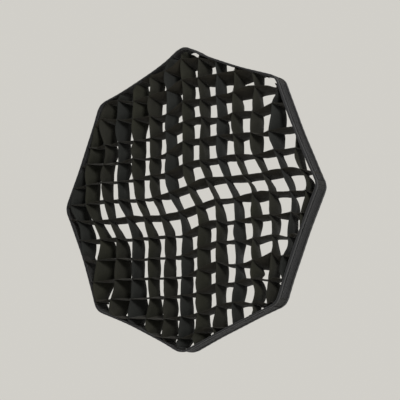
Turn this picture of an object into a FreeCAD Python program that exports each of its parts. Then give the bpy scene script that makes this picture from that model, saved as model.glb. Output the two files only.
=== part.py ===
"""Fabric honeycomb grid for an octagonal softbox, 800 mm across its corners.

Upright strips of doubled cloth cross level strips in half-lap slots, and a border of eight
panels closes the octagon. The grid stands upright: X runs to the right, Z up, and Y runs from
the front edges of the cloth to the back edges. The origin is the middle of the octagon, half
way through its depth. The grid folds in half like a book about an upright line just in front
of its middle, so everything that crosses that line is made as a left and a right piece.
Lengths are in millimetres and angles in degrees.
"""

import FreeCAD, Part
import os
from math import cos, pi, radians, sin

import Sketcher

SIZES = [
    ("corner_radius", 400, "outer face of the border, measured at the corners"),
    ("corner_half_angle", 22.5, "half of the turn from one corner to the next"),
    ("cell_pitch", 53.6, "from one strip to the next"),
    ("strip_depth", 50, "depth of the strips and of the border, along Y"),
    ("cloth", 1.2, "thickness of a strip of doubled cloth"),
    ("slot_play", 0.3, "how much wider a slot is than the strip in it"),
    ("panel", 2, "thickness of a border panel"),
    ("fold_gap", 0.5, "gap between the left and right halves at the fold"),
    ("tape_wide", 25, "width of the hook tape, along Y"),
    ("tape_thick", 1.6, "thickness of the hook tape"),
    ("tape_end", 14, "bare length of border between a corner and the hook tape"),
    ("binding", 1, "thickness of the folded tape that binds the border's edges"),
    ("binding_leg", 8, "width of the binding on the border's outer face"),
    ("tack_long", 5, "length of the stitched bar that locks a crossing"),
    ("tack_wide", 1, "width of that bar"),
    ("tack_thick", 0.8, "how far that bar stands off the edge of the cloth"),
]

STRIPS = 14                     # strips in each direction
RIGHT_SIDES = (6, 7, 0, 1)      # side k runs from corner k to corner k + 1, counted from +X
LEFT_SIDES = (2, 3, 4, 5)
FOLD_CORNERS = (2, 6)           # the top and bottom corners, which lie on the fold line
SIDE_NAMES = ("right_upper", "top_right", "top_left", "left_upper",
              "left_lower", "bottom_left", "bottom_right", "right_lower")

OUTER = "(Sizes.corner_radius * cos(Sizes.corner_half_angle))"      # middle to a side's outer face
INNER = f"({OUTER} - Sizes.panel)"
BOUND = f"({OUTER} + Sizes.binding)"
SLOT = "(Sizes.cloth + Sizes.slot_play)"
FRONT = "(-Sizes.strip_depth / 2)"
BACK = "(Sizes.strip_depth / 2)"

doc = FreeCAD.newDocument("honeycomb_grid")
parts = []


def make_sheet():
    """The driving dimensions, one row each: name, value, meaning."""
    sheet = doc.addObject("Spreadsheet::Sheet", "Sizes")
    for row, (name, value, meaning) in enumerate(SIZES, start=1):
        sheet.set(f"A{row}", name)
        sheet.set(f"B{row}", str(value))
        sheet.set(f"C{row}", meaning)
        sheet.setAlias(f"B{row}", name)
    doc.recompute()
    return sheet


def origin_feature(body, role):
    return next(f for f in body.Origin.OriginFeatures if f.Role == role)


def new_body(label):
    body = doc.addObject("PartDesign::Body", label)
    body.Label = label
    body.AllowCompound = True
    parts.append(body)
    return body


def plan_sketch(body, name, outlines, y):
    """A sketch in the plane Y = y. Each outline is a closed list of (x, z) expressions.

    The lines start as a small regular polygon; the constraints pull each corner to its place.
    """
    sketch = body.newObject("Sketcher::SketchObject", name)
    sketch.AttachmentSupport = [(origin_feature(body, "XZ_Plane"), "")]
    sketch.MapMode = "FlatFace"
    sketch.setExpression("AttachmentOffset.Base.z", f"-({y})")    # the plane's normal is -Y
    for outline in outlines:
        first, count = sketch.GeometryCount, len(outline)
        turns = [2 * pi * k / count for k in range(count)]
        rough = [FreeCAD.Vector(cos(turn), sin(turn), 0) for turn in turns]
        for k in range(count):
            sketch.addGeometry(Part.LineSegment(rough[k], rough[(k + 1) % count]), False)
        for k in range(count):
            line, following = first + k, first + (k + 1) % count
            sketch.addConstraint(Sketcher.Constraint("Coincident", line, 2, following, 1))
            start = rough[k].x, rough[k].y
            for kind, value, size in zip(("DistanceX", "DistanceY"), start, outline[k]):
                index = sketch.addConstraint(Sketcher.Constraint(kind, -1, 1, line, 1, value))
                sketch.setExpression(f"Constraints[{index}]", size)
    return sketch


def pad(body, name, outlines, y, length):
    """Extrudes the outlines from the plane Y = y towards the back."""
    feature = body.newObject("PartDesign::Pad", name)
    feature.Profile = plan_sketch(body, name + "_outline", outlines, y)
    feature.setExpression("Length", length)
    feature.Reversed = True
    return feature


# ---- strips: a place is in cells from the middle, and a point is (across, along) the strip ----

def strip_places():
    return [number - (STRIPS - 1) / 2 for number in range(STRIPS)]


def end_normal(sheet, place):
    """How many half angles lie between across the strip and the normal of the side it ends on."""
    corner = (sheet.corner_radius - sheet.panel) * cos(radians(45))
    return 3 if abs(place) * sheet.cell_pitch < corner else 1


def crossings(sheet, place):
    """How many strips of the other direction cross one half of this strip."""
    half_angle = radians(sheet.corner_half_angle)
    normal = end_normal(sheet, place) * half_angle
    inner = sheet.corner_radius * cos(half_angle) - sheet.panel
    reach = (inner - abs(place) * sheet.cell_pitch * cos(normal)) / sin(normal)
    return int(reach / sheet.cell_pitch + 0.5)


def cloth_edges(place):
    """The two faces of a strip, measured across it."""
    return [f"({abs(place)} * Sizes.cell_pitch {sign} Sizes.cloth / 2)" for sign in "+-"]


def border_end(sheet, place):
    """A strip's end, cut at the slant of the border panel that it is sewn to."""
    normal = f"({end_normal(sheet, place)} * Sizes.corner_half_angle)"
    return [(across, f"(({INNER} - {across} * cos({normal})) / sin({normal}))")
            for across in cloth_edges(place)]


def other_end(points):
    """The mirror image of an end, at the strip's negative end."""
    return [(across, f"(-{along})") for across, along in reversed(points)]


def fold_end(place):
    """A strip's square end beside the fold line."""
    return [(across, "(Sizes.fold_gap / 2)") for across in reversed(cloth_edges(place))]


def mirrored(points, across_sign, along_sign):
    return [(f"({across_sign} * {across})", f"({along_sign} * {along})") for across, along in points]


def slot_outline(place, first_crossing):
    """The first slot of a row: (across, along) corners around one crossing."""
    return [(f"({place} * Sizes.cell_pitch {a} Sizes.cloth)",
             f"({first_crossing} * Sizes.cell_pitch {b} {SLOT} / 2)")
            for a, b in (("-", "-"), ("+", "-"), ("+", "+"), ("-", "+"))]


def cut_slots(body, outline, y, towards_front, axis, count):
    """Cuts half-lap slots, one cell apart, as deep as half the strip."""
    pocket = body.newObject("PartDesign::Pocket", "slot")
    pocket.Profile = plan_sketch(body, "slot_outline", [outline], y)
    pocket.setExpression("Length", "Sizes.strip_depth / 2")
    pocket.Reversed = towards_front
    doc.recompute()
    row = body.newObject("PartDesign::LinearPattern", "slots")
    row.Originals = [pocket]
    row.Direction = (origin_feature(body, axis), [""])
    row.Occurrences = count
    row.setExpression("Length", f"{count - 1} * Sizes.cell_pitch")
    body.Tip = row


def make_vertical_strip(sheet, number, place):
    body = new_body(f"vertical_strip_{number:02d}")
    end = border_end(sheet, place)
    side = 1 if place > 0 else -1
    pad(body, "cloth", [mirrored(end + other_end(end), side, 1)], FRONT, "Sizes.strip_depth")
    half_count = crossings(sheet, place)
    outline = slot_outline(place, 0.5 - half_count)
    cut_slots(body, outline, FRONT, False, "Z_Axis", 2 * half_count)


def make_horizontal_strip(sheet, number, place, half):
    """One half of a level strip, from the fold line to the border."""
    body = new_body(f"horizontal_strip_{number:02d}_{half}")
    side = 1 if half == "right" else -1
    level = 1 if place > 0 else -1
    outline = mirrored(border_end(sheet, place) + fold_end(place), level, side)
    pad(body, "cloth", [[(x, z) for z, x in outline]], FRONT, "Sizes.strip_depth")
    count = crossings(sheet, place)
    first = 0.5 if half == "right" else 0.5 - count
    slot = [(x, z) for z, x in slot_outline(place, first)]
    cut_slots(body, slot, BACK, True, "X_Axis", count)


# ---- border: side k's normal points (2k + 1) half angles round from +X ----

def border_point(side, corner, out):
    """Where a line parallel to a side, at distance out, meets the mitre or the fold at a corner."""
    if corner % 8 in FOLD_CORNERS:
        normal = f"({2 * side + 1} * Sizes.corner_half_angle)"
        x = "(Sizes.fold_gap / 2)" if side in RIGHT_SIDES else "(-Sizes.fold_gap / 2)"
        return x, f"(({out} - {x} * cos({normal})) / sin({normal}))"
    angle = f"({2 * corner} * Sizes.corner_half_angle)"
    radius = f"({out} / cos(Sizes.corner_half_angle))"
    return f"({radius} * cos({angle}))", f"({radius} * sin({angle}))"


def band_outline(sides, inside, outside):
    """The outline of a band along a run of sides, between two distances from the middle."""
    ends = [(side, side) for side in sides] + [(sides[-1], sides[-1] + 1)]
    outer = [border_point(side, corner, outside) for side, corner in ends]
    inner = [border_point(side, corner, inside) for side, corner in ends]
    return outer + inner[::-1]


def make_border_panel(side):
    body = new_body(f"border_{SIDE_NAMES[side]}")
    pad(body, "panel", [band_outline([side], INNER, OUTER)], FRONT, "Sizes.strip_depth")


def make_bindings(sides, half):
    """Folded tape over the border's front and back edges: an edge strip and a leg outside."""
    legs = [band_outline(sides, OUTER, BOUND)]
    edges = [band_outline(sides, INNER, BOUND)]
    front = new_body(f"front_binding_{half}")
    pad(front, "edge", edges, f"{FRONT} - Sizes.binding", "Sizes.binding")
    pad(front, "leg", legs, FRONT, "Sizes.binding_leg")
    back = new_body(f"back_binding_{half}")
    pad(back, "leg", legs, f"{BACK} - Sizes.binding_leg", "Sizes.binding_leg")
    pad(back, "edge", edges, BACK, "Sizes.binding")


def make_hook_tapes(sides, half):
    """One straight length of hook tape on the outer face of each side."""
    body = new_body(f"hook_tapes_{half}")
    half_length = "(Sizes.corner_radius * sin(Sizes.corner_half_angle) - Sizes.tape_end)"
    outlines = []
    for side in sides:
        normal = f"({2 * side + 1} * Sizes.corner_half_angle)"
        corners = [(OUTER, "-"), (f"({OUTER} + Sizes.tape_thick)", "-"),
                   (f"({OUTER} + Sizes.tape_thick)", "+"), (OUTER, "+")]
        outlines.append([(f"({out} * cos({normal}) {sign} {half_length} * sin({normal}))",
                          f"({out} * sin({normal}) - ({sign} 1) * {half_length} * cos({normal}))")
                         for out, sign in corners])
    pad(body, "tape", outlines, "-Sizes.tape_wide / 2", "Sizes.tape_wide")


def make_tacks(sheet, half):
    """Stitched bars over the slot mouths, along Z in front and along X behind, at each crossing."""
    side = 1 if half == "right" else -1
    front = -sheet.strip_depth / 2
    bars = []
    for place in strip_places():
        z = place * sheet.cell_pitch
        for number in range(crossings(sheet, place)):
            x = side * (number + 0.5) * sheet.cell_pitch
            front_size = sheet.tack_wide, sheet.tack_thick, sheet.tack_long
            back_size = front_size[::-1]
            for size, y in ((front_size, front - sheet.tack_thick), (back_size, -front)):
                corner = FreeCAD.Vector(x - size[0] / 2, y, z - size[2] / 2)
                bars.append(Part.makeBox(*size, corner))
    tacks = doc.addObject("Part::Feature", f"crossing_tacks_{half}")
    tacks.Label = f"crossing_tacks_{half}"
    tacks.Shape = Part.makeCompound(bars)
    parts.append(tacks)


def check_and_export():
    """Stops on any failed object or shape, then writes one STEP file for each sub-part."""
    doc.recompute()
    for item in doc.Objects:
        if "Invalid" in item.State or "Error" in item.State:
            raise RuntimeError(f"{item.Label} failed: {item.State}")
    for item in parts:
        if item.Shape.isNull() or not item.Shape.isValid():
            raise RuntimeError(f"{item.Label} has no valid shape")
    os.makedirs("parts", exist_ok=True)
    for item in parts:
        item.Shape.exportStep(f"parts/{item.Label}.step")
        print(f"{item.Label:32s} {len(item.Shape.Solids):4d} solids {item.Shape.Volume / 1000:9.3f} cm3")


def main():
    sheet = make_sheet()
    for number, place in enumerate(strip_places(), start=1):
        make_vertical_strip(sheet, number, place)
        for half in ("left", "right"):
            make_horizontal_strip(sheet, number, place, half)
    for side in RIGHT_SIDES + LEFT_SIDES:
        make_border_panel(side)
    for sides, half in ((RIGHT_SIDES, "right"), (LEFT_SIDES, "left")):
        make_bindings(sides, half)
        make_hook_tapes(sides, half)
        make_tacks(sheet, half)
    check_and_export()


main()
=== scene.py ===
from math import cos, pi, radians, sin, tan

import bpy
import numpy as np
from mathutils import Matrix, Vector


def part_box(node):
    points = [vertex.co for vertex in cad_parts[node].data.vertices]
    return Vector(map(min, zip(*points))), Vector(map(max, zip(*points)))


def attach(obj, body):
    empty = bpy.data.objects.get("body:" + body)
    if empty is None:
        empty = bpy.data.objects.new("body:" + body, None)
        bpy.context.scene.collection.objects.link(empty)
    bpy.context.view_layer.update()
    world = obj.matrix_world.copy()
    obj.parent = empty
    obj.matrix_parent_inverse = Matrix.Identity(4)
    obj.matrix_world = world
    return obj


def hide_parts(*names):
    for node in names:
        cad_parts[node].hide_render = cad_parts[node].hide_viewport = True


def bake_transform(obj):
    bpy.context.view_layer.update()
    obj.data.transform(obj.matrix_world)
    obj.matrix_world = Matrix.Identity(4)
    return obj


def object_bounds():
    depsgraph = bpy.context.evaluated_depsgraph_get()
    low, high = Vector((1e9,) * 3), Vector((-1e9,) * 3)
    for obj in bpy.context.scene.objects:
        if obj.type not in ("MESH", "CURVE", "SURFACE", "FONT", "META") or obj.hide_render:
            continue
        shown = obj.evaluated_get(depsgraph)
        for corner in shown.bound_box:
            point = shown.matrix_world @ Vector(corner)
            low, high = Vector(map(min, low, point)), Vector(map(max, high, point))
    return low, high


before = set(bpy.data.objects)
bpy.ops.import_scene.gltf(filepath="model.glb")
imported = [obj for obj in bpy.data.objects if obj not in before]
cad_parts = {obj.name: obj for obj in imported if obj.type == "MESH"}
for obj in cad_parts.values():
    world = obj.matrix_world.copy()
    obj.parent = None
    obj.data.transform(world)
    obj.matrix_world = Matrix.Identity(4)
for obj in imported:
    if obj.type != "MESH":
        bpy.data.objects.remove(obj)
cad_low, cad_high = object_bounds()
rng = np.random.default_rng(11)

# ---- sizes, in metres, taken from the frame ----
SIDES = ("right_upper", "top_right", "top_left", "left_upper",
         "left_lower", "bottom_left", "bottom_right", "right_lower")
RIGHT_SIDES, LEFT_SIDES = (6, 7, 0, 1), (2, 3, 4, 5)
CLOTH = 0.0012
STRIPS = 14
HALF_ANGLE = radians(22.5)
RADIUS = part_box("border_right_upper")[1].x
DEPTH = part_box("border_right_upper")[1].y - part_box("border_right_upper")[0].y
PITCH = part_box("vertical_strip_09")[1].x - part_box("vertical_strip_08")[1].x
FRONT, BACK = -DEPTH / 2, DEPTH / 2
OUTER = RADIUS * cos(HALF_ANGLE)
PANEL = 0.002
INNER = OUTER - PANEL
SIDE_LONG = 2 * RADIUS * sin(HALF_ANGLE)
FOLD = 0.024                                   # half width of the cloth at the fold
PLACES = (np.arange(STRIPS) - (STRIPS - 1) / 2) * PITCH
NORMALS = [(cos((2 * k + 1) * HALF_ANGLE), sin((2 * k + 1) * HALF_ANGLE)) for k in range(8)]


# ---- how the cloth hangs: creases from folding in quarters, slack and sag ----
BOW = (0.004, 0.006, 0.009, 0.004, 0.008, 0.007, 0.003, 0.004)     # inward bow of each side
ROUND = (0.016, 0.018, 0.034, 0.024, 0.022, 0.024, 0.026, 0.018)   # corner k's rounding length
TOP_CORNER, TOP_LIFT = 2, 0.006                                    # the top corner stands proud


def smooth(t):
    t = np.clip(t, 0, 1)
    return t * t * (3 - 2 * t)


def ramp(d, width):
    return 2 * smooth((d / width + 1) / 2) - 1


def bump(x, z, at_x, at_z, wide):
    return np.exp(-((x - at_x) ** 2 + (z - at_z) ** 2) / wide ** 2)


# where the cloth is loose: (how much, x, z, width)
LOOSE_SPOTS = ((2.4, -0.26, 0.22, 0.13), (1.6, 0.0, 0.33, 0.10), (2.2, 0.27, 0.22, 0.12),
               (4.8, 0.25, -0.23, 0.11), (1.6, 0.35, 0.0, 0.09))


def slack(x, z):
    """How loose the cloth is: 1 where it is flat, more at the loose spots."""
    total = 1
    for amount, at_x, at_z, wide in LOOSE_SPOTS:
        total = total + amount * bump(x, z, at_x, at_z, wide)
    return total


def bow_at(side, s):
    return BOW[side] * (1 - (2 * s / SIDE_LONG) ** 2)


LATTICE = STRIPS + 4                           # crossings each way, with two spare all round
lattice_places = (np.arange(LATTICE) - (LATTICE - 1) / 2) * PITCH
crossing_x, crossing_z = np.meshgrid(lattice_places, lattice_places, indexing="ij")

# how far the back edge of the upright strips leans to the right: (amount, x, z, width) and
# (amount, side, reach in from that side)
SIDEWAYS_SPOTS = ((0.012, -0.18, 0.24, 0.15), (0.008, 0.0, 0.34, 0.10), (0.005, -0.15, -0.17, 0.14),
                  (0.003, 0.12, -0.2, 0.14), (0.016, 0.31, 0.18, 0.08))
SIDEWAYS_EDGES = ((0.024, 5, 0.12), (0.014, 2, 0.12), (0.008, 1, 0.10), (0.006, 3, 0.11),
                  (0.006, 6, 0.06), (0.006, 7, 0.07))
MOST_SIDEWAYS, MOST_AT_LOWER_LEFT = 0.021, 0.020
# how far the back edge of the level strips leans down: (amount, side, reach in from that side)
DOWNWARD_EDGES = ((0.020, 1, 0.12), (0.012, 2, 0.10), (-0.010, 5, 0.09))
LEAST_DOWNWARD, MOST_DOWNWARD = -0.016, 0.026
CREASE_SHIFT = 0.50                            # shares of a cell that the cloth shifts across a crease
CREASE_STEP = 0.24


def shift_crossings(x, z):
    """How far each crossing lies from its flat place, at the front and back edges, and its lean."""
    level_fold = z - (0.13 * x - 0.004)
    upright_fold = x - (0.012 - 0.10 * z)
    dx = -CREASE_SHIFT * PITCH * ramp(level_fold, 1.35 * PITCH)
    dz = CREASE_STEP * PITCH * ramp(upright_fold, 0.85 * PITCH) - 0.004 * bump(x, z, 0.0, -0.02, 0.2)
    near_level = np.exp(-(level_fold / (1.1 * PITCH)) ** 2)
    near_upright = np.exp(-((upright_fold + 0.01) / (0.7 * PITCH)) ** 2)
    gap = [np.maximum(INNER - x * nx - z * nz, 0) for nx, nz in NORMALS]

    def along_side(side, reach):
        return 1 - smooth(gap[side] / reach)

    sideways = (0.0005 - 0.003 * near_level + 0.009 * near_upright * (1 - near_level)
                + 0.014 * smooth((-x - 0.21) / 0.12) * (1 - 0.6 * near_level * smooth((x + 0.33) / 0.05))
                + 0.034 * along_side(4, 0.15) * (1 - near_level))
    for amount, at_x, at_z, wide in SIDEWAYS_SPOTS:
        sideways = sideways + amount * bump(x, z, at_x, at_z, wide)
    for amount, side, reach in SIDEWAYS_EDGES:
        sideways = sideways + amount * along_side(side, reach)
    downward = (0.0035 + 0.005 * near_level + 0.004 * smooth(x / 0.15)
                + 0.012 * bump(x, z, -0.20, 0.30, 0.10)
                - 0.009 * smooth((-x - 0.03) / 0.10) * (1 - near_level))
    for amount, side, reach in DOWNWARD_EDGES:
        downward = downward + amount * along_side(side, reach)
    sideways = np.minimum(sideways, MOST_SIDEWAYS + MOST_AT_LOWER_LEFT * along_side(4, 0.17))
    downward = np.clip(downward, LEAST_DOWNWARD, MOST_DOWNWARD)
    loose = slack(x, z)
    moved = []
    for share in (-0.5, 0.5):
        stray_x, stray_y, stray_z = rng.normal(0, 1, (3, LATTICE, LATTICE)).clip(-2, 2)
        recess = np.clip(0.0007 + 0.0006 * stray_y * np.sqrt(loose) + 0.001 * near_level, 0.0001, 0.003)
        moved.append(np.stack([dx + 0.0017 * loose * stray_x, -np.sign(share) * recess,
                               dz + 0.0020 * loose * stray_z]))
    return np.stack(moved), np.stack([sideways, -downward])


# shift: (front or back, x y z, column, row); lean of the back edge from the front: (x z, column, row)
crossing_shift, crossing_lean = shift_crossings(crossing_x, crossing_z)


def between(values, k, f):
    """A smooth curve through the values at four crossings, at share f of the way from k to k + 1."""
    a, b, c, d = (values[:, np.clip(k + n, 0, LATTICE - 1)] for n in (-1, 0, 1, 2))
    return b + 0.5 * f * (c - a + f * (2 * a - 5 * b + 4 * c - d + f * (3 * (b - c) + d - a)))


def warp(x, y, z, across):
    """Where points of a flat strip lie in the slack cloth; across is the way that it doesn't run."""
    x, y, z = np.broadcast_arrays(np.asarray(x, float), np.asarray(y, float), np.asarray(z, float))
    middle = (LATTICE - 1) / 2
    fixed, running = (x, z) if across == "x" else (z, x)
    line = int(round(float(np.ravel(fixed)[0]) / PITCH + middle))
    at = np.clip(running / PITCH + middle, 0, LATTICE - 1.001)
    k = np.floor(at).astype(int)
    f = at - k
    row = crossing_shift[:, :, line, :] if across == "x" else crossing_shift[:, :, :, line]
    front, behind = between(row[0], k, f), between(row[1], k, f)
    lean = crossing_lean[:, line, :] if across == "x" else crossing_lean[:, :, line]
    lean = between(lean, k, f) * (y / DEPTH)
    back = y / DEPTH + 0.5
    dx, dy, dz = front * (1 - back) + behind * back
    for side, (nx, nz) in enumerate(NORMALS):
        gap = np.maximum(INNER - x * nx - z * nz, 0)
        outward = dx * nx + dz * nz
        held = 1 - smooth(gap / (1.2 * PITCH))
        dx, dz = dx - nx * outward * held, dz - nz * outward * held
        along = -dx * nz + dz * nx
        grip = 0.12 * (1 - smooth(gap / (1.5 * PITCH)))
        dx, dz = dx + nz * along * grip, dz - nx * along * grip
        s = -(x + dx) * nz + (z + dz) * nx
        inside = np.abs(s) < 0.62 * SIDE_LONG
        pull = np.where(inside, np.maximum(bow_at(side, s), 0), 0) * (1 - smooth(gap / (3.2 * PITCH)))
        dx, dz = dx - nx * pull, dz - nz * pull
        dy = dy * (1 - 0.8 * held)
        lean = lean * (0.15 + 0.85 * smooth(gap / (0.45 * PITCH)))
    return x + dx + lean[0], y + dy, z + dz + lean[1]


def ripples(count, longest, shortest):
    """A fixed sum of waves over (along, across), as a function giving about -1 to 1."""
    turn = rng.uniform(0, pi, count)
    length = np.geomspace(longest, shortest, count)
    phase = rng.uniform(0, 2 * pi, count)

    def height(u, v):
        total = 0
        for a, wave, p in zip(turn, length, phase):
            total = total + (wave / longest) ** 0.7 * np.sin(2 * pi * (u * cos(a) + v * sin(a)) / wave + p)
        return total / 2
    return height


# ---- mesh builders ----

def new_mesh(name, points, faces, uv=None, material=None):
    mesh = bpy.data.meshes.new(name)
    mesh.from_pydata([tuple(p) for p in points], [], faces)
    if uv is not None:
        layer = mesh.uv_layers.new(name="cloth")
        loops = np.zeros(len(mesh.loops), np.int32)
        mesh.loops.foreach_get("vertex_index", loops)
        layer.data.foreach_set("uv", np.asarray(uv, np.float32)[loops].ravel())
    mesh.polygons.foreach_set("use_smooth", [True] * len(mesh.polygons))
    mesh.update()
    obj = bpy.data.objects.new(name, mesh)
    bpy.context.scene.collection.objects.link(obj)
    if material:
        mesh.materials.append(material)
    return obj


def sleeve(name, centre, half_front, half_back, uv, material):
    """A closed double layer of cloth round a grid of middle points [along, across]."""
    along = np.gradient(centre, axis=0)
    across = np.gradient(centre, axis=1)
    normal = np.cross(along, across)
    normal /= np.linalg.norm(normal, axis=2, keepdims=True)
    a = centre + normal * half_front[..., None]
    b = centre - normal * half_back[..., None]
    rows, cols = centre.shape[:2]
    index = np.arange(rows * cols).reshape(rows, cols)
    other = index + rows * cols
    faces = []
    for i in range(rows - 1):
        for j in range(cols - 1):
            faces.append((index[i, j], index[i + 1, j], index[i + 1, j + 1], index[i, j + 1]))
            faces.append((other[i, j], other[i, j + 1], other[i + 1, j + 1], other[i + 1, j]))
    for i in range(rows - 1):
        faces.append((index[i, 0], other[i, 0], other[i + 1, 0], index[i + 1, 0]))
        faces.append((index[i, -1], index[i + 1, -1], other[i + 1, -1], other[i, -1]))
    for j in range(cols - 1):
        faces.append((index[0, j], index[0, j + 1], other[0, j + 1], other[0, j]))
        faces.append((index[-1, j], other[-1, j], other[-1, j + 1], index[-1, j + 1]))
    points = np.concatenate([a.reshape(-1, 3), b.reshape(-1, 3)])
    flat = uv.reshape(-1, 2)
    faces = [tuple(int(k) for k in f) for f in faces]
    return new_mesh(name, points, faces, np.concatenate([flat, flat]), material)


def sweep(name, rings, uv_u, material):
    """A closed tube through rings of points [along, round]."""
    rows, cols = rings.shape[:2]
    index = np.arange(rows * cols).reshape(rows, cols)
    faces = []
    for i in range(rows - 1):
        for j in range(cols):
            k = (j + 1) % cols
            faces.append((index[i, j], index[i, k], index[i + 1, k], index[i + 1, j]))
    faces.append(tuple(index[0, ::-1]))
    faces.append(tuple(index[-1]))
    step = np.linalg.norm(np.diff(rings[0], axis=0, append=rings[0][:1]), axis=1)
    round_it = np.concatenate([[0], np.cumsum(step)[:-1]])
    uv = np.stack([np.repeat(uv_u[:, None], cols, 1), np.repeat(round_it[None], rows, 0)], axis=2)
    faces = [tuple(int(k) for k in f) for f in faces]
    return new_mesh(name, rings.reshape(-1, 3), faces, uv.reshape(-1, 2), material)


# ---- materials ----

def nodes_of(name):
    material = bpy.data.materials.new(name)
    material.use_nodes = True
    tree = material.node_tree
    shader = next(n for n in tree.nodes if n.type == "BSDF_PRINCIPLED")
    return material, tree, shader


def node(tree, kind, inputs=(), **settings):
    made = tree.nodes.new(kind)
    for key, value in settings.items():
        setattr(made, key, value)
    for key, value in dict(inputs).items():
        socket = made.inputs[key]
        if isinstance(value, bpy.types.NodeSocket):
            tree.links.new(value, socket)
        else:
            socket.default_value = value
    return made


def maths(tree, operation, a, b=0.0, c=0.0):
    made = node(tree, "ShaderNodeMath", {0: a, 1: b, 2: c}, operation=operation)
    return made.outputs[0]


STITCH_HALF_WIDTH, STITCH_LONG, STITCH_SHARE = 0.00035, 0.0038, 0.72


def cloth_material(name, dark, light, weave=0.0009, stitch_at=None, rough=0.74, sheen=0.045, ribs=False):
    """Woven cloth, or ribbed ribbon: threads, slow colour drift, flecks and rows of stitches."""
    material, tree, shader = nodes_of(name)
    uv = node(tree, "ShaderNodeUVMap", uv_map="cloth").outputs[0]
    parts = node(tree, "ShaderNodeSeparateXYZ", {0: uv})
    u, v = parts.outputs[0], parts.outputs[1]
    warp_threads = maths(tree, "SINE", maths(tree, "MULTIPLY", u, 2 * pi / weave))
    weft_threads = maths(tree, "SINE", maths(tree, "MULTIPLY", v, 2 * pi / weave))
    threads = warp_threads if ribs else maths(tree, "MULTIPLY", warp_threads, weft_threads)
    drift = node(tree, "ShaderNodeTexNoise", {"Vector": uv, "Scale": 16.0, "Detail": 3.0, "Roughness": 0.6})
    fine = node(tree, "ShaderNodeTexNoise", {"Vector": uv, "Scale": 420.0, "Detail": 2.0, "Roughness": 0.7})
    mix = node(tree, "ShaderNodeMix", {"Factor": drift.outputs[0]}, data_type="RGBA")
    mix.inputs[6].default_value = (*dark, 1)
    mix.inputs[7].default_value = (*light, 1)
    weave_shade = maths(tree, "MULTIPLY_ADD", threads, 0.10, 1.0)
    flecks = maths(tree, "MULTIPLY_ADD", fine.outputs[0], 0.5, 0.75)
    shade = maths(tree, "MULTIPLY", weave_shade, flecks)
    fuzz = maths(tree, "MULTIPLY", fine.outputs[0], 0.6)
    height = maths(tree, "ADD", maths(tree, "MULTIPLY", threads, 0.5), fuzz)
    if stitch_at:
        line = None
        for at in stitch_at:
            off = maths(tree, "ABSOLUTE", maths(tree, "SUBTRACT", v, at))
            near = maths(tree, "LESS_THAN", off, STITCH_HALF_WIDTH)
            line = near if line is None else maths(tree, "MAXIMUM", line, near)
        step = maths(tree, "FRACT", maths(tree, "MULTIPLY", u, 1 / STITCH_LONG))
        dash = maths(tree, "LESS_THAN", step, STITCH_SHARE)
        stitch = maths(tree, "MULTIPLY", line, dash)
        shade = maths(tree, "ADD", shade, maths(tree, "MULTIPLY", stitch, 0.9))
        height = maths(tree, "ADD", height, maths(tree, "MULTIPLY", stitch, 2.5))
    colour = node(tree, "ShaderNodeVectorMath", {0: mix.outputs[2]}, operation="SCALE")
    tree.links.new(shade, colour.inputs["Scale"])
    tree.links.new(colour.outputs[0], shader.inputs["Base Color"])
    roughness = maths(tree, "MULTIPLY_ADD", drift.outputs[0], 0.22, rough - 0.11)
    tree.links.new(roughness, shader.inputs["Roughness"])
    bump_node = node(tree, "ShaderNodeBump", {"Height": height, "Strength": 0.5, "Distance": 0.00025})
    tree.links.new(bump_node.outputs[0], shader.inputs["Normal"])
    shader.inputs["Sheen Weight"].default_value = sheen
    shader.inputs["Sheen Roughness"].default_value = 0.5
    shader.inputs["Specular IOR Level"].default_value = 0.075
    return material


HEM = DEPTH / 2 - 0.004                        # a strip's hem stitches, from its middle line
BORDER_SEAM = 0.012                            # the border's seams, from its middle line
UPRIGHT_TONES = (((0.0030, 0.0029, 0.0020), (0.0094, 0.0092, 0.0062)),
                 ((0.0029, 0.0031, 0.0028), (0.0082, 0.0088, 0.0076)),
                 ((0.0032, 0.0032, 0.0019), (0.0096, 0.0096, 0.0060)))
TRIM_DARK, TRIM_LIGHT = (0.004, 0.004, 0.0044), (0.008, 0.008, 0.0085)
upright_cloths = [cloth_material(f"upright_cloth_{k}", dark, light, stitch_at=(HEM, -HEM))
                  for k, (dark, light) in enumerate(UPRIGHT_TONES)]
level_cloth = cloth_material("level_cloth", (0.0038, 0.0032, 0.0019), (0.0098, 0.0084, 0.0050),
                             stitch_at=(HEM, -HEM))
border_cloth = cloth_material("border_cloth", (0.0032, 0.0032, 0.0031), (0.0078, 0.0076, 0.0066),
                              stitch_at=(BORDER_SEAM, -BORDER_SEAM))
binding_cloth = cloth_material("binding_ribbon", TRIM_DARK, TRIM_LIGHT,
                               weave=0.0014, rough=0.7, sheen=0.1, ribs=True)
thread = cloth_material("bar_thread", (0.008, 0.008, 0.0085), (0.016, 0.016, 0.016),
                        weave=0.0006, rough=0.5)
tape_base = cloth_material("hook_tape_base", (0.004, 0.004, 0.0045), TRIM_LIGHT,
                           weave=0.0008, rough=0.55, sheen=0.05)


# ---- the strips ----

ACROSS = 19                                    # middle points over a strip's depth
DEPTH_SHARE = np.sin(np.linspace(-pi / 2, pi / 2, ACROSS))
RINGS_PER_CELL = 10
STIFF_RINGS, BEND_RINGS = 10, 34               # rings within FOLD of the middle, upright and level
TAB_FAR = np.array([0.0016, 0.0035, 0.0055, 0.0075])   # rings of the tab, along the border
TAB_LIFT = (0.0009, 0.0012, 0.0012, 0.0011)    # and how far each lies in from the border
TAB_THIN = 0.0007
BELLY, SAG = 0.0052, 0.0013                    # how far a wall bulges to the right, and strays
LEVEL_BULGE = 0.8                              # share of that for a level wall, downward
PINCH_UPRIGHT, PINCH_LEVEL = 0.0030, 0.0012    # how far edges draw in at a crossing


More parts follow.
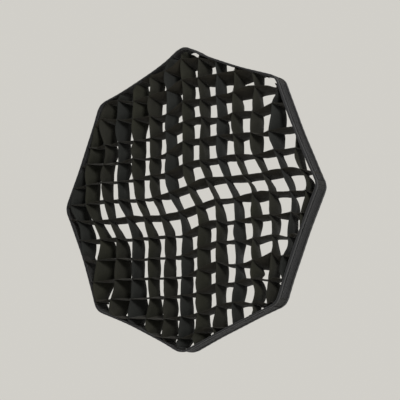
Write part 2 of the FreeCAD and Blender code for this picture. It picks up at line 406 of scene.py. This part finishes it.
def strip_end(place):
    """Length of half a strip, from the middle to the border's inner face."""
    across = abs(place)
    on_steep = (INNER - across * cos(3 * HALF_ANGLE)) / sin(3 * HALF_ANGLE)
    on_flat = (INNER - across * cos(HALF_ANGLE)) / sin(HALF_ANGLE)
    return min(on_steep, on_flat)


def strip_thickness(u, v, ripple):
    """Half thicknesses of the two layers: thin at crossings and hems, fuller between."""
    f = np.abs(u / PITCH + (STRIPS - 1) / 2) % 1.0
    between = np.sin(pi * f) ** 0.8
    edge = np.sqrt(np.clip(1 - np.abs(2 * v / DEPTH) ** 14, 0.02, 1))
    body = np.clip(1 - (v / HEM) ** 4, 0, 1) ** 0.8
    groove = 1 - 0.45 * np.exp(-((np.abs(v) - HEM) / 0.0009) ** 2)
    fold = np.abs(ripple(u, v))
    return (0.00062 + 0.0017 * between * body * (0.7 + 0.5 * fold)) * edge * groove + 0.00004


def end_tab(ring, place, end_at, upright):
    """Rings of the tab that turns over from a strip's last ring and lies on the border."""
    ax, az = (place, end_at) if upright else (end_at, place)
    side = max(range(8), key=lambda k: ax * NORMALS[k][0] + az * NORMALS[k][1])
    nx, nz = NORMALS[side]
    tangent = np.array([-nz, 0, nx])
    inward = np.array([-nx, 0, -nz])
    toward = -np.sign(place) * (tangent[0] if upright else tangent[2])
    tangent = tangent * (1 if toward > 0 else -1)
    room = SIDE_LONG / 2 - abs(-ax * nz + az * nx)
    whole = float(np.clip((room - 0.006) / 0.02, 0.1, 1))
    return np.array([ring + tangent * far * whole + inward * lift * whole
                     for far, lift in zip(TAB_FAR, TAB_LIFT)])


def strip_bulge(u, v, reach, loose):
    """How far a strip's middle layer stands out of its crossings' surface, and the share of a cell."""
    cell = u / PITCH + (STRIPS - 1) / 2
    f, number = cell % 1.0, np.floor(cell).astype(int)
    number -= number.min()
    sag = rng.normal(0, 1, (2, number.max() + 1))
    belly = rng.uniform(0.4, 1.0, number.max() + 1)
    back = v / DEPTH + 0.5
    amount = (SAG * loose) * (sag[0][number] * (1 - back) + sag[1][number] * back)
    amount = amount + BELLY * belly[number] * (1 - (2 * v / DEPTH) ** 2)
    end_fade = smooth((reach - np.abs(u)) / 0.012)
    wide, fine = ripples(5, 0.075, 0.022), ripples(5, 0.030, 0.010)
    creases = (0.0008 * wide(u, v) + 0.00022 * fine(u, v)) * (0.35 + 0.65 * np.sin(pi * f)) * end_fade
    return amount * np.sin(pi * f) * end_fade + creases, f


def build_strip(name, place, upright, material):
    reach = strip_end(place)
    outside = np.linspace(FOLD, reach, int(reach / PITCH * RINGS_PER_CELL))
    inside = np.linspace(-FOLD, FOLD, STIFF_RINGS if upright else BEND_RINGS)
    u = np.concatenate([-outside[::-1], inside[1:-1], outside])[:, None]
    v = (DEPTH / 2 * DEPTH_SHARE)[None, :]
    at_x, at_z = (place, u) if upright else (u, place)
    x, y, z = warp(at_x, v, at_z, "x" if upright else "z")
    bulge, f = strip_bulge(u, v, reach, slack(at_x, at_z))
    if upright:
        x = x + bulge
    else:
        z = z - bulge * LEVEL_BULGE
    pinch = PINCH_UPRIGHT if upright else PINCH_LEVEL
    y = y - pinch * (1 - np.sin(pi * f) ** 0.6) * (2 * v / DEPTH) ** 5
    centre = np.stack([x, y, z], axis=2)
    first_tab = end_tab(centre[0], place, -reach, upright)
    last_tab = end_tab(centre[-1], place, reach, upright)
    centre = np.concatenate([first_tab[::-1], centre, last_tab])
    u_all = np.concatenate([-reach - TAB_FAR[::-1], u[:, 0], reach + TAB_FAR])[:, None]
    front = strip_thickness(u_all, v, ripples(4, 0.045, 0.016))
    rear = strip_thickness(u_all, v, ripples(4, 0.045, 0.016))
    for half in (front, rear):
        half[:len(TAB_FAR)] = np.minimum(half[:len(TAB_FAR)], TAB_THIN)
        half[-len(TAB_FAR):] = np.minimum(half[-len(TAB_FAR):], TAB_THIN)
    uv = np.stack(np.broadcast_arrays(u_all + 1.7 * place, v), axis=2)
    obj = sleeve(name, centre, front, rear, uv, material)
    return obj


for n, place in enumerate(PLACES, start=1):
    piece = build_strip(f"upright_wall_{n:02d}", place, True, upright_cloths[n % 3])
    if abs(place) < PITCH:                     # these two hang slack across the fold
        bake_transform(piece)
    else:
        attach(piece, "right_half" if place > 0 else "left_half")
    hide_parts(f"vertical_strip_{n:02d}")
for n, place in enumerate(PLACES, start=1):
    piece = build_strip(f"level_wall_{n:02d}", place, False, level_cloth)
    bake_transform(piece)
    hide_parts(f"horizontal_strip_{n:02d}_left", f"horizontal_strip_{n:02d}_right")


# ---- the border ----

PANEL_RINGS, RIBBON_RINGS, TAPE_RINGS = 91, 70, 60    # rings along one side


def border_path(side, s, apothem):
    """Middle line of a side at distance s from its middle, bowed and rounded at its corners."""
    nx, nz = NORMALS[side]
    half = apothem * tan(HALF_ANGLE)
    s = s * half / (SIDE_LONG / 2)
    x = nx * (apothem - bow_at(side, s)) - nz * s
    z = nz * (apothem - bow_at(side, s)) + nx * s
    for corner, end in ((side, -half), (side + 1, half)):
        w = ROUND[corner % 8]
        near = np.clip(1 - np.abs(s - end) / w, 0, 1) ** 2
        cut = 0.5 * w * tan(HALF_ANGLE) * near
        if corner % 8 == TOP_CORNER:
            cut = cut - TOP_LIFT * smooth(1 - np.abs(s - end) / 0.07)
        angle = 2 * corner * HALF_ANGLE
        x, z = x - cut * cos(angle), z - cut * sin(angle)
    return x, z


def end_limit(side, x):
    """Keeps a piece on its own half of the fold."""
    return np.maximum(x, 0) if side in RIGHT_SIDES else np.minimum(x, 0)


AT_THE_FOLD = {1, 2, 5, 6}                     # the sides that meet at the fold


def bend_or_ride(piece, sides, half):
    if set(sides) & AT_THE_FOLD:
        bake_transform(piece)
    else:
        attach(piece, half)


for side, word in enumerate(SIDES):
    s = np.linspace(-SIDE_LONG / 2, SIDE_LONG / 2, PANEL_RINGS)[:, None]
    v = (DEPTH / 2 * DEPTH_SHARE)[None, :]
    x, z = border_path(side, s + 0 * v, OUTER - PANEL / 2)
    wide, fine = ripples(6, 0.11, 0.03), ripples(6, 0.035, 0.010)
    calm = smooth((SIDE_LONG / 2 - np.abs(s)) / 0.03)
    inward = (0.0010 * (1 + wide(s, v)) + 0.0003 * fine(s, v)) * calm * (1 - (2 * v / DEPTH) ** 6)
    nx, nz = NORMALS[side]
    centre = np.stack([end_limit(side, x - nx * inward), v + 0 * s, z - nz * inward], axis=2)
    edge = np.sqrt(np.clip(1 - np.abs(2 * v / DEPTH) ** 14, 0.04, 1))
    quilt = 0.00085 + 0.0005 * np.abs(ripples(5, 0.05, 0.015)(s, v)) * calm
    half = quilt * edge + 0.00004
    uv = np.stack([s + 0 * v + side, v + 0 * s], axis=2)
    piece = sleeve(f"border_panel_{word}", centre, half, half, uv, border_cloth)
    bend_or_ride(piece, (side,), "right_half" if side in RIGHT_SIDES else "left_half")
    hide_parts(f"border_{word}")


def ring_frames(sides, steps):
    """Points, outward normals and running length along several sides of the border."""
    xs, zs = [], []
    for k, side in enumerate(sides):
        s = np.linspace(-SIDE_LONG / 2, SIDE_LONG / 2, steps)[(1 if k else 0):]
        x, z = border_path(side, s, OUTER - PANEL / 2)
        xs.append(x)
        zs.append(z)
    x, z = np.concatenate(xs), np.concatenate(zs)
    dx, dz = np.gradient(x), np.gradient(z)
    size = np.hypot(dx, dz)
    run = np.concatenate([[0], np.cumsum(np.hypot(np.diff(x), np.diff(z)))])
    return x, z, dz / size, -dx / size, run


RIBBON_THICK, RIBBON_DEEP = 0.0009, 0.008


def binding_profile(edge_y):
    """A folded ribbon: (outward, y) points round a U that holds the border's edge."""
    t, deep = RIBBON_THICK, RIBBON_DEEP
    grip = PANEL / 2 + 0.0003
    inward = 1 if edge_y < 0 else -1
    outer = [(grip + t * 0.8, deep), (grip + t, deep - 0.0006), (grip + t, 0.004), (grip + t, 0.0006),
             (grip + 0.4 * t, -0.0004), (0.0, -0.0007), (-grip - 0.4 * t, -0.0004),
             (-grip - t, 0.0006), (-grip - t, 0.004), (-grip - t, deep - 0.0014),
             (-grip - 0.8 * t, deep - 0.0008)]
    inner = [(-grip, deep - 0.001), (-grip, 0.004), (-grip, 0.0006), (0.0, 0.0002),
             (grip, 0.0006), (grip, 0.004), (grip, deep)]
    return [(out, edge_y + inward * far) for out, far in outer + inner]


for sides, word in ((RIGHT_SIDES, "right"), (LEFT_SIDES, "left")):
    x, z, nx, nz, run = ring_frames(sides, RIBBON_RINGS)
    wave = 0.0002 * np.sin(run / 0.0028) + 0.0003 * np.sin(run / 0.021)
    for where, edge_y in (("front", FRONT), ("back", BACK)):
        rings = []
        for a, b in binding_profile(edge_y):
            out = a + wave * np.sign(a)
            rings.append(np.stack([x + nx * out, 0 * x + b, z + nz * out], 1))
        rings = np.stack(rings, axis=1)
        rings[..., 0] = end_limit(sides[0], rings[..., 0])
        piece = sweep(f"{where}_edge_ribbon_{word}", rings, run, binding_cloth)
        bend_or_ride(piece, sides, word + "_half")
        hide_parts(f"{where}_binding_{word}")


# ---- hook tape, with its hooks ----

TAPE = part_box("hook_tapes_right")[1].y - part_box("hook_tapes_right")[0].y
TAPE_END = 0.014                               # tape stops this far from a corner
TAPE_PROFILE = ((0.0012, -0.5), (0.0019, -0.5), (0.0021, -0.48), (0.0019, -0.455), (0.0019, 0.0),
                (0.0019, 0.455), (0.0021, 0.48), (0.0019, 0.5), (0.0012, 0.5))
HOOK_ROWS, HOOK_STEP, HOOK_INSET = 10, 0.0026, 0.002
# a hook's rings: (height over the border's middle, slide along the tape, half width)
HOOK_RINGS = ((0.0018, 0, 0.00022), (0.0026, 0.0001, 0.00018),
              (0.0029, 0.0005, 0.00015), (0.0025, 0.0009, 0.00010))


class Pile:
    """Closed blocks of points and faces, gathered into one mesh."""

    def __init__(self):
        self.points, self.faces, self.uvs, self.count = [], [], [], 0

    def add(self, block, quads, uv):
        self.points.append(block)
        self.uvs.append(uv)
        self.faces.extend(tuple(int(k + self.count) for k in q) for q in quads)
        self.count += len(block)

    def mesh(self, name, material):
        return new_mesh(name, np.concatenate(self.points), self.faces, np.concatenate(self.uvs), material)


def tube_faces(rings, around):
    """The side faces of a tube whose points run round each ring in turn."""
    return [(around * i + j, around * i + (j + 1) % around,
             around * (i + 1) + (j + 1) % around, around * (i + 1) + j)
            for i in range(rings - 1) for j in range(around)]


def hook(base, out, along):
    """A small bent peg of thread that leans along the tape."""
    block = []
    for lift, slide, wide in HOOK_RINGS:
        middle = base + out * lift + along * slide
        across = np.array([0, wide, 0])
        block += [middle + across, middle + along * wide, middle - across, middle - along * wide]
    return np.array(block), tube_faces(len(HOOK_RINGS), 4) + [(3, 2, 1, 0), (12, 13, 14, 15)]


def hook_tapes(sides, word):
    pile = Pile()
    for side in sides:
        s = np.linspace(-SIDE_LONG / 2 + TAPE_END, SIDE_LONG / 2 - TAPE_END, TAPE_RINGS)
        x, z = border_path(side, s, OUTER - PANEL / 2)
        dx, dz = np.gradient(x), np.gradient(z)
        size = np.hypot(dx, dz)
        nx, nz = dz / size, -dx / size
        rings = np.stack([np.stack([x + nx * a, 0 * x + b * TAPE, z + nz * a], 1)
                          for a, b in TAPE_PROFILE], axis=1)
        rows, cols = rings.shape[:2]
        index = np.arange(rows * cols).reshape(rows, cols)
        quads = [(index[i, j], index[i, (j + 1) % cols], index[i + 1, (j + 1) % cols], index[i + 1, j])
                 for i in range(rows - 1) for j in range(cols)]
        quads += [tuple(index[0, ::-1]), tuple(index[-1])]
        across = np.array([b for _, b in TAPE_PROFILE])[None] * TAPE
        uv = np.stack([np.repeat(s[:, None], cols, 1), np.repeat(across, rows, 0)], axis=2)
        pile.add(rings.reshape(-1, 3), quads, uv.reshape(-1, 2))
        along = np.arange(s[0] + HOOK_INSET, s[-1] - HOOK_INSET, HOOK_STEP)
        for r, y in enumerate(np.linspace(-0.44, 0.44, HOOK_ROWS) * TAPE):
            at = along + (HOOK_STEP / 2 if r % 2 else 0)
            at = at[at < s[-1] - 0.001]
            lean = 1 if r % 2 else -1
            for px, pz, qx, qz in zip(np.interp(at, s, x), np.interp(at, s, z),
                                      np.interp(at, s, nx), np.interp(at, s, nz)):
                base, out = np.array([px, y, pz]), np.array([qx, 0, qz])
                block, quads = hook(base, out, np.array([-qz, 0, qx]) * lean)
                pile.add(block, quads, np.tile([[px, y]], (len(block), 1)))
    piece = pile.mesh(f"hook_tape_{word}", tape_base)
    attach(piece, word + "_half")
    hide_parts(f"hook_tapes_{word}")


hook_tapes(RIGHT_SIDES, "right")
hook_tapes(LEFT_SIDES, "left")


# ---- stitched bars at the crossings ----

TACK, TACK_WIDE, TACK_HIGH = 0.005, 0.0013, 0.0007
TACK_RINGS, TACK_AROUND = 13, 6


def bar(start, end, out):
    """A ridged bar of thread between two points, lying on a surface whose outward way is out."""
    along = end - start
    side = np.cross(along / np.linalg.norm(along), out)
    block = []
    for i in range(TACK_RINGS):
        f = i / (TACK_RINGS - 1)
        full = (0.55 + 0.45 * (i % 2)) * min(1.0, 0.45 + 3.2 * min(f, 1 - f))
        for j in range(TACK_AROUND):
            a = 2 * pi * j / TACK_AROUND
            wide, high = TACK_WIDE / 2 * full * cos(a), TACK_HIGH * full * sin(a)
            block.append(start + along * f + side * wide + out * high)
    ends = [tuple(range(TACK_AROUND))[::-1],
            tuple(range(TACK_AROUND * (TACK_RINGS - 1), TACK_AROUND * TACK_RINGS))]
    return np.array(block), tube_faces(TACK_RINGS, TACK_AROUND) + ends


for word, sign in (("right", 1), ("left", -1)):
    pile = Pile()
    for place in PLACES:
        for x0 in PLACES[PLACES * sign > 0]:
            if abs(x0) > strip_end(place) - 0.5 * CLOTH or strip_end(x0) < abs(place):
                continue
            for y, across, step in ((FRONT, "x", (0, TACK / 2)), (BACK, "z", (TACK / 2, 0))):
                ends = [np.array([float(c) for c in warp(x0 + k * step[0], y, place + k * step[1], across)])
                        for k in (-1, 1)]
                block, quads = bar(ends[0], ends[1], np.array([0, -1.0 if y < 0 else 1.0, 0]))
                pile.add(block, quads, np.tile([[x0, place]], (len(block), 1)) + block[:, [0, 2]] * 0.5)
    piece = pile.mesh(f"bar_tacks_{word}", thread)
    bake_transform(piece)
    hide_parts(f"crossing_tacks_{word}")


# ---- studio ----

FLOOR_Z, FLOOR_HALF = cad_low.z - 0.42, 2.6
FLOOR_COLOUR, STUDIO_COLOUR = (0.82, 0.82, 0.81, 1), (0.64, 0.625, 0.585, 1)

floor_mesh = bpy.data.meshes.new("studio_floor")
floor_mesh.from_pydata([(-FLOOR_HALF, -FLOOR_HALF, FLOOR_Z), (FLOOR_HALF, -FLOOR_HALF, FLOOR_Z),
                        (FLOOR_HALF, FLOOR_HALF, FLOOR_Z), (-FLOOR_HALF, FLOOR_HALF, FLOOR_Z)],
                       [], [(0, 1, 2, 3)])
floor = bpy.data.objects.new("studio_floor", floor_mesh)
bpy.context.scene.collection.objects.link(floor)
floor_material, _, shader = nodes_of("studio_floor_paint")
shader.inputs["Base Color"].default_value = FLOOR_COLOUR
shader.inputs["Roughness"].default_value = 0.8
floor_mesh.materials.append(floor_material)

world = bpy.data.worlds.new("studio")
bpy.context.scene.world = world
world.use_nodes = True
background = next(n for n in world.node_tree.nodes if n.type == "BACKGROUND")
background.inputs[0].default_value = STUDIO_COLOUR
background.inputs[1].default_value = 1.0
bpy.context.scene.view_settings.view_transform = "Standard"


def area_light(name, place, size, power, colour=(1, 1, 1)):
    """A round lamp aimed at the middle of the grid."""
    lamp = bpy.data.lights.new(name, "AREA")
    lamp.shape = "DISK"
    lamp.size = size
    lamp.energy = power
    lamp.color = colour
    obj = bpy.data.objects.new(name, lamp)
    bpy.context.scene.collection.objects.link(obj)
    obj.location = place
    obj.rotation_euler = (-Vector(place)).to_track_quat("-Z", "Y").to_euler()


area_light("key", (2.6, -2.0, 1.7), size=1.0, power=240)
area_light("fill", (-1.9, -2.4, 0.6), size=1.8, power=18, colour=(0.95, 0.97, 1))

CAMERA_PLACE, CAMERA_TURN = (1.814, -2.513, -0.470), (98.57, -0.25, 35.20)
LENS, SENSOR = 108.6, 36

camera_data = bpy.data.cameras.new("camera")
camera_data.lens = LENS
camera_data.sensor_width = SENSOR
camera = bpy.data.objects.new("camera", camera_data)
bpy.context.scene.collection.objects.link(camera)
camera.location = CAMERA_PLACE
camera.rotation_euler = [radians(turn) for turn in CAMERA_TURN]
bpy.context.scene.camera = camera

bpy.context.view_layer.update()
